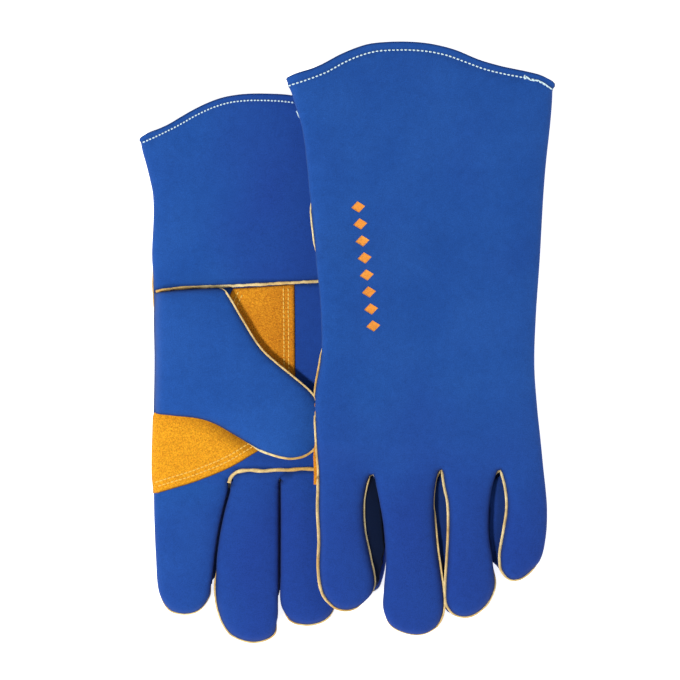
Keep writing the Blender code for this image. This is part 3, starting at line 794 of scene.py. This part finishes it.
def relief(glove, field, xy, side):
    """Low unevenness of stuffed leather: broad waves, and puckers along the seams."""
    seed = 3.1 if glove.palm_up else 8.7
    waves = sum(height * soft_noise(xy, length, seed + step * side)
                for step, (height, length) in enumerate(WAVES, 1))
    spacing = np.linalg.norm(np.diff(field.seam[:2], axis=0))
    height, length, inside, width = PUCKERS
    ripple = line_noise(field.segment * spacing / length, seed, side)
    amount = waves + height * ripple * bell(field.distance - inside, width)
    if side > 0 or not glove.palm_up:
        return amount
    return np.minimum(amount, 0.0) * 0.3


def finger_of(field, glove, centre, index):
    """The finger a place on the pattern belongs to, or None on the hand and cuff."""
    if centre[1] > glove.bend_y:
        return None
    label = field.labels[min(field.segment[index], len(field.labels) - 1)]
    return label if label in FINGERS else None


def new_object(name, vertices, faces, material, normals=None, shade=None, tint_and_shade=None):
    mesh = bpy.data.meshes.new(name)
    faces = [tuple(int(index) for index in face) for face in faces]
    mesh.from_pydata([tuple(point) for point in vertices], [], faces)
    mesh.materials.append(material)
    mesh.shade_smooth()
    if normals is not None:
        mesh.normals_split_custom_set_from_vertices([tuple(normal) for normal in normals])
    for label, values in (("seam_shade", shade), ("tint_and_shade", tint_and_shade)):
        if values is not None:
            layer = mesh.attributes.new(label, "FLOAT", "POINT")
            layer.data.foreach_set("value", np.asarray(values, np.float32))
    piece = bpy.data.objects.new(name, mesh)
    bpy.context.scene.collection.objects.link(piece)
    return piece


def closed_object(name, vertices, faces, material):
    """A closed solid, with its faces turned outwards."""
    piece = new_object(name, vertices, faces, material)
    edit = bmesh.new()
    edit.from_mesh(piece.data)
    bmesh.ops.recalc_face_normals(edit, faces=edit.faces)
    edit.to_mesh(piece.data)
    edit.free()
    return piece


def surface_tree(points, faces):
    faces = [tuple(map(int, face)) for face in faces]
    return BVHTree.FromPolygons([Vector(point) for point in points], faces)


def finish(glove, piece, part, slot, *nodes):
    """Bakes a finger or thumb piece in place, or hangs a piece on the glove's body, and hides the named parts
    of the frame.
    """
    body = f"{glove.name}_glove"
    if part in glove.bends:
        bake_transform(piece)
    else:
        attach(piece, body)
    if nodes:
        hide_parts(*[f"{glove.name}_{node}" for node in nodes])


def vertex_normals(points, triangles):
    corner = points[triangles]
    face = np.cross(corner[:, 1] - corner[:, 0], corner[:, 2] - corner[:, 0])
    normals = np.zeros_like(points)
    for index in range(3):
        np.add.at(normals, triangles[:, index], face)
    return normals / np.maximum(np.linalg.norm(normals, axis=1, keepdims=True), 1e-12)


def mouth_rim(field):
    """The skin's vertices along the cuff's mouth, in order, and the direction out of the cuff at each."""
    ends = np.flatnonzero(field.on_mouth)
    _, foot, order = nearest_on_path(field.xy[ends], field.mouth, closed=False)
    rim = ends[np.argsort(-(order + np.linalg.norm(foot - field.mouth[order], axis=1) / 100))]
    along = np.gradient(field.xy[rim], axis=0)
    along /= np.linalg.norm(along, axis=1, keepdims=True)
    return rim, np.column_stack([-along[:, 1], along[:, 0]])


def add_hem(points, field, side):
    """Turns the skin's mouth edge inwards: a round fold and a flap behind it."""
    rim, outward = mouth_rim(field)
    turns = np.radians(HEM_TURNS)
    steps = [*zip(HEM_RADIUS * np.sin(turns) - HEM_BACK, HEM_RADIUS * (1 - np.cos(turns))), *HEM_FLAP]
    room = np.clip((np.abs(points[rim, 2] - MIDDLE) - 0.4) / 3.0, 0.02, 1.0)
    rows, all_points = [rim], [points]
    total = len(points)
    for reach, drop in steps:
        row = points[rim].copy()
        row[:, :2] += outward * reach
        row[:, 2] -= side * drop * room
        all_points.append(row)
        rows.append(np.arange(total, total + len(rim)))
        total += len(rim)
    faces = []
    for one, two in zip(rows, rows[1:]):
        for a, b, c, d in zip(one, one[1:], two[1:], two):
            faces += [(a, b, c), (a, c, d)]
    return np.vstack(all_points), np.array(faces)[:, ::-side]


def owners_of(glove, field, wrist_y):
    """The part that each triangle goes to: a finger, the hand, or the cuff above the wrist line."""
    owners = []
    for face in field.triangles:
        centre = field.xy[face].mean(0)
        finger = finger_of(field, glove, centre, face[0])
        owners.append(finger or ("cuff" if centre[1] > wrist_y[face].mean() else "hand"))
    return owners


def split_pieces(glove, describe, slot, points, triangles, owners, shade=None, tint_and_shade=None):
    """Cuts a skin into pieces that share its smooth normals, so that no cut shows."""
    normals = vertex_normals(points, triangles)
    for owner in sorted(set(owners)):
        faces = triangles[[place for place, item in enumerate(owners) if item == owner]]
        used, compact = np.unique(faces, return_inverse=True)
        name, node, material = describe(owner)
        layers = [None if values is None else values[used] for values in (shade, tint_and_shade)]
        piece = new_object(f"{glove.name}_{name}", points[used], compact.reshape(faces.shape), material,
                           normals[used], *layers)
        finish(glove, piece, owner, slot, node)


def build_skin(glove, field, side, materials):
    """One whole skin, hemmed at the cuff and cut into the hand, cuff and finger pieces."""
    palm_side = (side > 0) == glove.palm_up
    flat = skin_points(glove, field, side)
    shade = seam_shade(field)
    wrist = smooth_path(WRIST_SEAM + glove.shift, 3.0)
    wrist_y = np.full(len(flat), np.inf)
    if side < 0:
        shade = np.maximum(shade, crevice_shade(field))
    if palm_side:
        wrist_y = np.interp(field.xy[:, 0], wrist[:, 0], wrist[:, 1])
        base_seam = smooth_path(FINGER_SEAM + glove.finger_shift, 3.0)
        # Grooves along the wrist and finger-base seams, with painted shade beside their welts
        for line, groove in ((wrist, WRIST_GROOVE), (base_seam, BASE_GROOVE)):
            gap = gap_to(flat[:, :2], line, closed=False)
            flat[:, 2] -= side * band(gap, groove) * clamp(field.profile * 2)
            shade = np.maximum(shade, band(gap, PALM_SEAM_SHADE))
    points, hem = add_hem(flat, field, side)
    triangles = np.vstack([field.triangles[:, ::side], hem])
    owners = owners_of(glove, field, wrist_y) + ["cuff" if palm_side else "hand"] * len(hem)
    placed = lay(glove, points)

    def describe(owner):
        material = materials["blue_palm" if palm_side and owner not in ("index", "cuff") else "blue"]
        if owner in FINGERS:
            part = f"{owner}_{'front' if palm_side else 'back'}"
            return f"{part}_leather", part, material
        part = "cuff_palm" if owner == "cuff" else "palm" if palm_side else "back"
        return f"{part}_leather", f"{part}_panel", material

    # Painted shade on the hem's flap, turned in inside the cuff
    shade = np.append(shade, np.full(len(placed) - len(shade), FLAP_SHADE))
    split_pieces(glove, describe, "blue_leather", placed, triangles, owners, shade, violet_lean_and_shade(glove, points))
    return surface_tree(placed, triangles)


def build_lining(glove, materials):
    """The loose cotton glove inside: hand, cuff and four fingers, as two skins each."""
    field = glove_field(glove, COARSE)
    owners = owners_of(glove, field, np.full(len(field.xy), glove.wrist_y))
    for side, level in ((1, "upper"), (-1, "lower")):
        points = skin_points(glove, field, side, LINING_INSET)
        points[:, 1] -= np.where(field.on_mouth, 5.0, 0.0)

        def describe(owner):
            return f"{owner}_lining_{level}", f"{owner}_liner", materials["lining"]

        triangles = field.triangles[:, ::-side]
        split_pieces(glove, describe, "cotton_lining", lay(glove, points), triangles, owners)


# ---------------------------------------------------------------- welts, stitches and trim

def tube_faces(rows, sides, first=0):
    """Faces of a closed tube through rows of points, numbered from the first."""
    faces = []
    for row in range(rows - 1):
        for index in range(sides):
            a, b = first + row * sides + index, first + row * sides + (index + 1) % sides
            faces.append((a, b, b + sides, a + sides))
    last = first + (rows - 1) * sides
    faces.append(tuple(range(first, first + sides))[::-1])
    faces.append(tuple(range(last, last + sides)))
    return faces


def sweep(name, rings, material):
    """A closed tube through rings of points."""
    return closed_object(name, np.vstack(rings), tube_faces(len(rings), len(rings[0])), material)


def strip_rings(centres, outward, reach, tilt, thickness):
    """Cross-sections of a leather strip: its root in the seam, its outer edge standing out by reach."""
    rings = []
    half = thickness / 2
    for centre, out, far, angle in zip(centres, outward, reach, tilt):
        away = np.array([out[0] * math.cos(angle), out[1] * math.cos(angle), math.sin(angle)])
        up = np.array([-out[0] * math.sin(angle), -out[1] * math.sin(angle), math.cos(angle)])
        shape = ((-WELT_ROOT, -half), (far - 0.35, -half), (far, -half * 0.5), (far + 0.05, 0.0),
                 (far, half * 0.5), (far - 0.35, half), (-WELT_ROOT, half))
        rings.append(np.array([centre + away * along + up * over for along, over in shape]))
    return rings


def seam_welts(glove, field, materials):
    """The welt in the glove's outline seam, one piece for each side and finger."""
    seam, show, outward = field.seam, field.show, field.outward
    wobble = line_noise(np.arange(len(seam)) * 0.23, 4.0, 1.0)
    reach = np.interp(show, *WELT_REACH) * (1 + WELT_WOBBLE[0] * wobble)
    tilt = np.interp(show, *WELT_TILT) + WELT_WOBBLE[1] * wobble
    root = seam - outward * (WELT_TUCK * tucked_under(show))[:, None]
    centres = np.column_stack([root, MIDDLE + seam_height(show)])
    for label in ("thumb_side", *FINGERS, "little_side"):
        members = [place for place, item in enumerate(field.labels) if item == label]
        span = slice(max(members[0] - 1, 0), min(members[-1] + 1, len(seam) - 1) + 1)
        rings = strip_rings(centres[span], outward[span], reach[span], tilt[span], WELT_THICKNESS)
        rings = [lay(glove, ring) for ring in rings]
        piece = sweep(f"{glove.name}_{label}_welt_strip", rings, materials["welt"])
        finish(glove, piece, label, "welt_leather", f"{label}_welt")


def surface_at(tree, spot, side):
    """The place and outward normal of a skin straight above or below a flat-pattern point."""
    x, y = (spot[0] + SHIFT.x) * MM, (spot[1] + SHIFT.y) * MM
    start = Vector((x, y, 1.0 if side > 0 else -1.0))
    place, normal, _, _ = tree.ray_cast(start, Vector((0, 0, -side)))
    if place is None:
        place, normal, _, _ = tree.find_nearest(Vector((x, y, 0.02)))
        place = Vector((x, y, place.z))
    if normal.z * side < 0:
        normal = -normal
    return place, normal


def surface_strip(name, tree, line, side, width, height, material, bridge=0):
    """A low rounded strip lying along a line on a skin, bridging hollows up to bridge points wide."""
    spots = [surface_at(tree, spot, side) for spot in line]
    heights = [place.z for place, _ in spots]
    if bridge:
        for index, (place, normal) in enumerate(spots):
            near = heights[max(index - bridge, 0):index + bridge + 1]
            level = side * max(side * value for value in near)
            z = place.z + (level - place.z) * min(abs(level - place.z) / (1.5 * MM), 1)
            normal = Vector((0, 0, side)).lerp(normal, 0.4).normalized()
            spots[index] = (Vector((place.x, place.y, z)), normal)
    rings = []
    for index, (place, normal) in enumerate(spots):
        before, after = spots[max(index - 1, 0)][0], spots[min(index + 1, len(spots) - 1)][0]
        across = (after - before).cross(normal).normalized()
        wobble = 1 + 0.25 * noise.noise(Vector((index * 0.31, 2.0, 5.0)))
        rings.append(np.array([place + across * math.cos(angle) * width / 2 * MM * wobble
                               + normal * (math.sin(angle) * height + 0.25) * MM * wobble
                               for angle in np.linspace(0, math.tau, 9)[:-1]]))
    return sweep(name, rings, material)


def stitch_row(name, tree, line, side, pitch, length, radius, material):
    """A row of single stitches sitting on a skin, each a short thread dipping into its holes."""
    steps = lengths_along(line)

    def spot_at(place):
        return np.interp(place, steps, line[:, 0]), np.interp(place, steps, line[:, 1]), 0

    vertices, faces = [], []
    for number, place in enumerate(np.arange(pitch / 2, steps[-1], pitch)):
        centre = place + noise.noise(Vector((number * 0.9, 7.0, 3.0))) * pitch * 0.06
        faces += tube_faces(len(STITCH), STITCH_SIDES, len(vertices))
        for share, size, rise in STITCH:
            at = np.clip(centre + share * length, 0, steps[-1])
            ahead = min(at + 0.5, steps[-1])
            behind = max(ahead - 1.0, 0)
            foot, normal = surface_at(tree, spot_at(at), side)
            along = (Vector(spot_at(ahead)) - Vector(spot_at(behind))).normalized()
            across = along.cross(normal).normalized()
            middle = foot + normal * (rise * radius + STITCH_LIFT) * MM
            for angle in np.linspace(0, math.tau, STITCH_SIDES + 1)[:-1]:
                vertices.append(middle + across * math.cos(angle) * radius * size * MM
                                + normal * math.sin(angle) * radius * size * 0.8 * MM)
    return closed_object(name, vertices, faces, material)


def cuff_stitches(glove, field, trees, materials):
    """White thread through the cuff's hem, on both sides of the mouth, and its loose ends."""
    for side, level in ((1, "upper"), (-1, "lower")):
        piece = stitch_row(f"{glove.name}_cuff_stitches_{level}", trees[side], field.hem, side,
                           glove.stitch_pitch, glove.stitch_pitch * 0.7, HEM_THREAD_RADIUS,
                           materials["white"])
        finish(glove, piece, "cuff", "white_thread")
    for number, line in enumerate(glove.loose_threads, 1):
        piece = surface_strip(f"{glove.name}_cuff_thread_{number}", trees[1], smooth_path(line, 0.8), 1,
                              *LOOSE_THREAD, materials["white"])
        finish(glove, piece, "cuff", "white_thread")


# ---------------------------------------------------------------- palm patch, printed mark and thumb

def patch_run(glove, start, end, spacing):
    """A stretch of the patch's outline between two of its corners."""
    run = np.array([PATCH[index % len(PATCH)] for index in range(start, end + 1)])
    return smooth_path(run + glove.shift, spacing)


def patch_outline(glove, field):
    """The patch's whole outline, counter-clockwise, with its corners kept sharp."""
    corners = [*PATCH_SHARP, PATCH_SHARP[0] + len(PATCH)]
    runs = []
    for start, end in zip(corners, corners[1:]):
        run = patch_run(glove, start, end, PATCH_MESH.path)[:-1]
        if start == PATCH_EDGE:
            inset = np.interp(run[:, 1] - glove.shift[1], *PATCH_UNDER_THUMB)
            run = follow_edge(field, run, inset[:, None])
        runs.append(run)
    return np.vstack(runs)[::-1]


def patch_stitch_lines(glove, outline):
    """Two rows of thread inside each edge that is sewn down; the others are caught in a seam."""
    lines = []
    for start, end in PATCH_SEWN:
        path = patch_run(glove, start, end, 1.5)
        for row in PATCH_STITCH_ROWS:
            line = path - path_normals(path, False) * row
            clear = is_inside(line, outline) & (gap_to(line, outline) > 0.9)
            lines.append(line[clear & (gap_to(line, path, closed=False) > 0.93 * row)])
    return lines


def panel_on_skin(tree, side, outline, detail, lift_of, flare=0.0):
    """Points and faces of a thin panel with turned-down edges on a skin; lift_of gives its height."""
    def raised(spot, up):
        place, normal = surface_at(tree, spot, side)
        return np.array(place) + np.array(normal) * up * MM

    xy, triangles = flat_mesh(outline, detail)
    distance = gap_to(xy, outline)
    points = [raised(spot, up) for spot, up in zip(xy, lift_of(xy, distance))]
    above = [int(np.argmin(np.linalg.norm(xy - spot, axis=1))) for spot in outline]
    faces = [tuple(face) for face in triangles]
    for spread, up in ((flare, 0.15), (flare * 0.6, -0.3)):
        below = list(range(len(points), len(points) + len(outline)))
        points += [raised(spot, up) for spot in outline - path_normals(outline, True) * spread]
        for index, after in zip(range(len(outline)), [*range(1, len(outline)), 0]):
            faces.append((above[index], below[index], below[after]))
            faces.append((above[index], below[after], above[after]))
        above = below
    if side < 0:
        faces = [face[::-1] for face in faces]
    return points, faces, distance


def build_patch(glove, field, tree, side, materials):
    """Gold leather sewn over the palm, with two rows of thread inside its sewn edges."""
    outline = patch_outline(glove, field)
    lines = patch_stitch_lines(glove, outline)

    def lift_of(xy, distance):
        groove = bell(np.min([gap_to(xy, line, closed=False) for line in lines], axis=0), 0.8)
        lift = PATCH_THICKNESS * (0.55 + 0.45 * clamp(distance / 0.5) ** 0.5)
        return lift - 0.35 * groove + 0.15 * soft_noise(xy, 12.0, 21.0)

    free_edge = gap_to(outline, field.seam, closed=False) > 2.0
    flare = np.where(free_edge, PATCH_FLARE, 0.0)[:, None]
    points, faces, distance = panel_on_skin(tree, side, outline, PATCH_MESH, lift_of, flare)
    flat = np.array(points)[:, :2] / MM - FLAT_SHIFT - glove.shift
    # Painted shadow that the thumb's fold casts on the patch, stronger further along the fold and broken up
    # by noise
    fold = smooth_path(THUMB_EDGE[0][1], 2.0)
    thumb_shadow = band(gap_to(flat, fold, closed=False), THUMB_SHADOW_SHADE) * smooth_step((flat[:, 0] + 106) / 40)
    thumb_shadow *= 0.8 + 0.5 * soft_noise(flat, 5.0, 29.0)
    # Painted shade: the side walls are fully dark, and the top darkens towards the cut edge
    shade = np.full(len(points), 1.0)
    shade[:len(distance)] = np.maximum(band(distance, CUT_SHADE), thumb_shadow[:len(distance)])
    # Painted light and shade: the patch is lighter towards the fingers, out from under the thumb's shade
    tint_and_shade = smooth_step((-18 - flat[:, 1]) / 35)
    piece = new_object(f"{glove.name}_palm_patch_leather", points, faces, materials["gold"],
                       shade=shade, tint_and_shade=tint_and_shade)
    finish(glove, piece, "index", "gold_leather", "palm_patch")
    patch_tree = surface_tree(points, faces)
    for number, line in enumerate(lines, 1):
        stitches = stitch_row(f"{glove.name}_patch_stitches_{number}", patch_tree, line, side,
                              *PATCH_STITCH, materials["yellow"])
        finish(glove, stitches, "index", "gold_thread")
    if not glove.palm_up:
        add_patch_side(glove, field, materials)


def add_patch_side(glove, field, materials):
    """The edge of the palm patch where it comes round the thumb side and shows past the back."""
    seam = field.seam
    low_y, high_y = PATCH_SIDE_SHOWS
    members = np.flatnonzero((seam[:, 1] > low_y) & (seam[:, 1] < high_y) & (seam[:, 0] < 0))
    z = MIDDLE + seam_height(field.show[members]) - 1.3
    centres = np.column_stack([seam[members], z])
    share = (high_y - seam[members, 1]) / (high_y - low_y)
    reach = np.interp(share, (0, 0.35, 1.0), (0.9, 2.6, 3.2))
    rings = strip_rings(centres, field.outward[members], reach, np.full(len(members), -0.12), 1.2)
    piece = sweep(f"{glove.name}_palm_patch_side", [lay(glove, ring) for ring in rings], materials["gold"])
    finish(glove, piece, "index", "gold_leather")


def add_printed_mark(glove, tree, materials):
    """A plain column of diamonds printed on the back of the glove."""
    start, end = MARK_ENDS
    along = (end - start) / np.linalg.norm(end - start)
    across = np.array([-along[1], along[0]])
    long, wide = along * MARK_HALF[0], across * MARK_HALF[1]
    points, faces = [], []
    for share in np.linspace(0, 1, MARK_COUNT):
        centre = start + (end - start) * share
        corners = [centre - wide, centre + long, centre + wide, centre - long]
        sides = zip(corners, corners[1:] + corners[:1])
        outline = np.vstack([np.linspace(one, two, 5)[:-1] for one, two in sides])
        more_points, more_faces, _ = panel_on_skin(tree, 1, outline, MARK_MESH,
                                                   lambda xy, distance: np.full(len(xy), MARK_THICKNESS))
        faces += [tuple(int(index) + len(points) for index in face) for face in more_faces]
        points += more_points
    piece = new_object(f"{glove.name}_printed_mark", points, faces, materials["print"])
    finish(glove, piece, "hand", "gold_leather")


def follow_edge(field, spots, inset):
    """Moves places near the glove's outline seam to just inside it."""
    _, foot, segment = nearest_on_path(spots, field.seam, closed=False)
    return foot - field.outward[segment] * inset


def thumb_field(glove, hand):
    """The thumb's flat pattern: its base along the hand's edge and its seam round the rest."""
    shows, points = unroll(THUMB_EDGE)
    base = follow_edge(hand, smooth_path(THUMB_BASE, 2.2) + glove.shift, 0.6)
    points = [base[-1], *(np.array(points) + glove.shift), base[0]]
    seam, show = smooth_path(points, FINE.path, [0.0, *shows, 0.0])
    outline = np.vstack([seam, base[1:-1]])
    xy, triangles = flat_mesh(outline, FINE)
    distance, _, segment = nearest_on_path(xy, outline)
    shown = np.append(show, np.zeros(len(outline) - len(seam)))[segment]
    return SimpleNamespace(xy=xy, triangles=triangles, distance=distance, seam=seam, show=show, shown=shown,
                           base_gap=gap_to(xy, base, closed=False),
                           profile=puff_profile(xy, triangles, distance < ON_LINE))


def ground_height(tree, spots, side):
    return np.array([surface_at(tree, spot, side)[0].z for spot in spots]) / MM


def thumb_heights(glove, field, ground, side):
    """Heights of the thumb's outer and inner leather over the palm."""
    profile, full = field.profile, glove.thumb_puff
    from_base = smooth_step(field.base_gap / 5.0)
    level = full * np.interp(field.shown, (0, 1), THUMB_SEAM_LEVEL) * np.exp(-field.distance / 4.0)
    level = level * (1 - profile * 0.8) * from_base
    waves = 0.5 * soft_noise(field.xy, 24.0, 31.0 + side) * profile
    lift = THUMB_GAP + (THUMB_LIFT - THUMB_GAP) * from_base
    crease = 1 - 0.4 * field.shown * bell(field.distance, 1.2)
    outer = ground + side * (lift + level + full * profile * crease + waves)
    return outer, ground + side * (0.5 * lift + level * clamp(1 - profile * 1.6))


def build_thumb(glove, hand, tree, side, materials):
    """The folded thumb: outer leather, inner leather against the palm, two lining skins and its welt."""
    field = thumb_field(glove, hand)
    outer, inner = thumb_heights(glove, field, ground_height(tree, field.xy, side), side)
    start_x = field.xy[:, 0].min() + 1.0
    glove.bends["thumb"] = [(Vector((x, 0, 0)) + SHIFT) * MM for x in (start_x, start_x + THUMB_BEND_LENGTH)]
    # Painted shade in the crease along the thumb's seam
    shade = band(field.distance, SEAM_SHADE)
    room = outer - inner
    for name, heights, facing, material, shades, slot, node in (
            ("outer_leather", outer, 1, "blue", shade, "blue_leather", "outer"),
            ("inner_leather", inner, -1, "gold", shade, "gold_leather", "inner"),
            ("lining_upper", outer - room * 0.25, 1, "lining", None, "cotton_lining", "liner"),
            ("lining_lower", inner + room * 0.25, -1, "lining", None, "cotton_lining", "liner")):
        points = np.column_stack([field.xy + FLAT_SHIFT, heights]) * MM
        piece = new_object(f"{glove.name}_thumb_{name}", points, field.triangles[:, ::side * facing],
                           materials[material], shade=shades)
        finish(glove, piece, "thumb", slot, f"thumb_{node}")

    seam, show = field.seam, field.show
    first, last = np.flatnonzero(show > 0.05)[[0, -1]]
    span = slice(max(first - 1, 0), last + 2)
    level = glove.thumb_puff * np.interp(show, (0, 1), THUMB_SEAM_LEVEL) + THUMB_LIFT
    centres = np.column_stack([seam + FLAT_SHIFT, ground_height(tree, seam, side) + side * level])
    wobble = line_noise(np.arange(len(seam)) * 0.27, 9.0, 2.0)
    reach = np.interp(show, (0, 1), (0.15, 0.85)) * (1 + 0.2 * wobble)
    tilt = side * (np.interp(show, (0, 1), (0.0, 0.45)) + 0.2 * wobble)
    rings = strip_rings(centres[span], -path_normals(seam, False)[span], reach[span], tilt[span], 0.95)
    welt = sweep(f"{glove.name}_thumb_welt_strip", [ring * MM for ring in rings], materials["welt"])
    finish(glove, welt, "thumb", "welt_leather", "thumb_welt")


# ---------------------------------------------------------------- assembly, light and camera

def build_glove(glove, materials):
    bend = [(Vector((0, y, 0)) + SHIFT) * MM for y in (glove.bend_y, glove.bend_y - BEND_LENGTH)]
    glove.bends = dict.fromkeys(FINGERS, bend)
    field = glove_field(glove, FINE)
    trees = {side: build_skin(glove, field, side, materials) for side in (1, -1)}
    build_lining(glove, materials)
    seam_welts(glove, field, materials)
    palm = 1 if glove.palm_up else -1
    wrist = smooth_path(WRIST_SEAM + glove.shift, 2.0)[1:-1]
    strip = surface_strip(f"{glove.name}_wrist_welt_strip", trees[palm], wrist, palm, *WRIST_WELT,
                          materials["welt"])
    finish(glove, strip, "hand", "welt_leather", "wrist_welt")
    base_seam = smooth_path(FINGER_SEAM + glove.finger_shift, 1.4)
    strip = surface_strip(f"{glove.name}_finger_base_welt", trees[palm], base_seam, palm, *BASE_WELT,
                          materials["welt"], bridge=4)
    finish(glove, strip, "hand", "welt_leather")
    cuff_stitches(glove, field, trees, materials)
    build_patch(glove, field, trees[palm], palm, materials)
    build_thumb(glove, field, trees[palm], palm, materials)
    if not glove.palm_up:
        add_printed_mark(glove, trees[1], materials)


def add_floor():
    material, shader = principled("floor_white", (0.9, 0.9, 0.9), 0.9)
    shader.inputs["Emission Color"].default_value = (1.0, 1.0, 1.0, 1.0)
    shader.inputs["Emission Strength"].default_value = 0.8
    bpy.ops.mesh.primitive_plane_add(size=40.0, location=(0, 0, -0.0004))
    floor = bpy.context.object
    floor.name = "floor"
    floor.data.materials.append(material)


def add_area_light(name, location, size, power):
    data = bpy.data.lights.new(name, "AREA")
    data.shape = "DISK"
    data.size = size
    data.energy = power
    lamp = bpy.data.objects.new(name, data)
    bpy.context.scene.collection.objects.link(lamp)
    lamp.location = location
    lamp.rotation_mode = "QUATERNION"
    lamp.rotation_quaternion = (-Vector(location)).to_track_quat("-Z", "Y")


def add_light():
    add_area_light("key", (-1.1, -0.8, 2.5), 0.45, 71.0)
    add_area_light("fill", (1.4, 1.0, 2.2), 2.2, 7.0)
    world = bpy.data.worlds.new("studio")
    bpy.context.scene.world = world
    world.use_nodes = True
    background = world.node_tree.nodes["Background"]
    background.inputs["Color"].default_value = (1.0, 1.0, 1.0, 1.0)
    background.inputs["Strength"].default_value = 0.42


def add_camera():
    """Straight above, far away, so that both gloves keep their plan outline."""
    distance = 8.0
    view_width = 0.4066
    look_at = Vector((-0.0037, 0.0014, 0.022))
    data = bpy.data.cameras.new("camera")
    data.sensor_width = 36.0
    data.lens = data.sensor_width * distance / view_width
    data.clip_end = 50.0
    camera = bpy.data.objects.new("camera", data)
    camera.location = look_at + Vector((0, 0, distance))
    bpy.context.scene.collection.objects.link(camera)
    bpy.context.scene.camera = camera
    bpy.context.scene.view_settings.view_transform = "Standard"


add_camera()
add_floor()
add_light()
shared_materials = make_materials()
for each_glove in GLOVES:
    build_glove(each_glove, shared_materials)
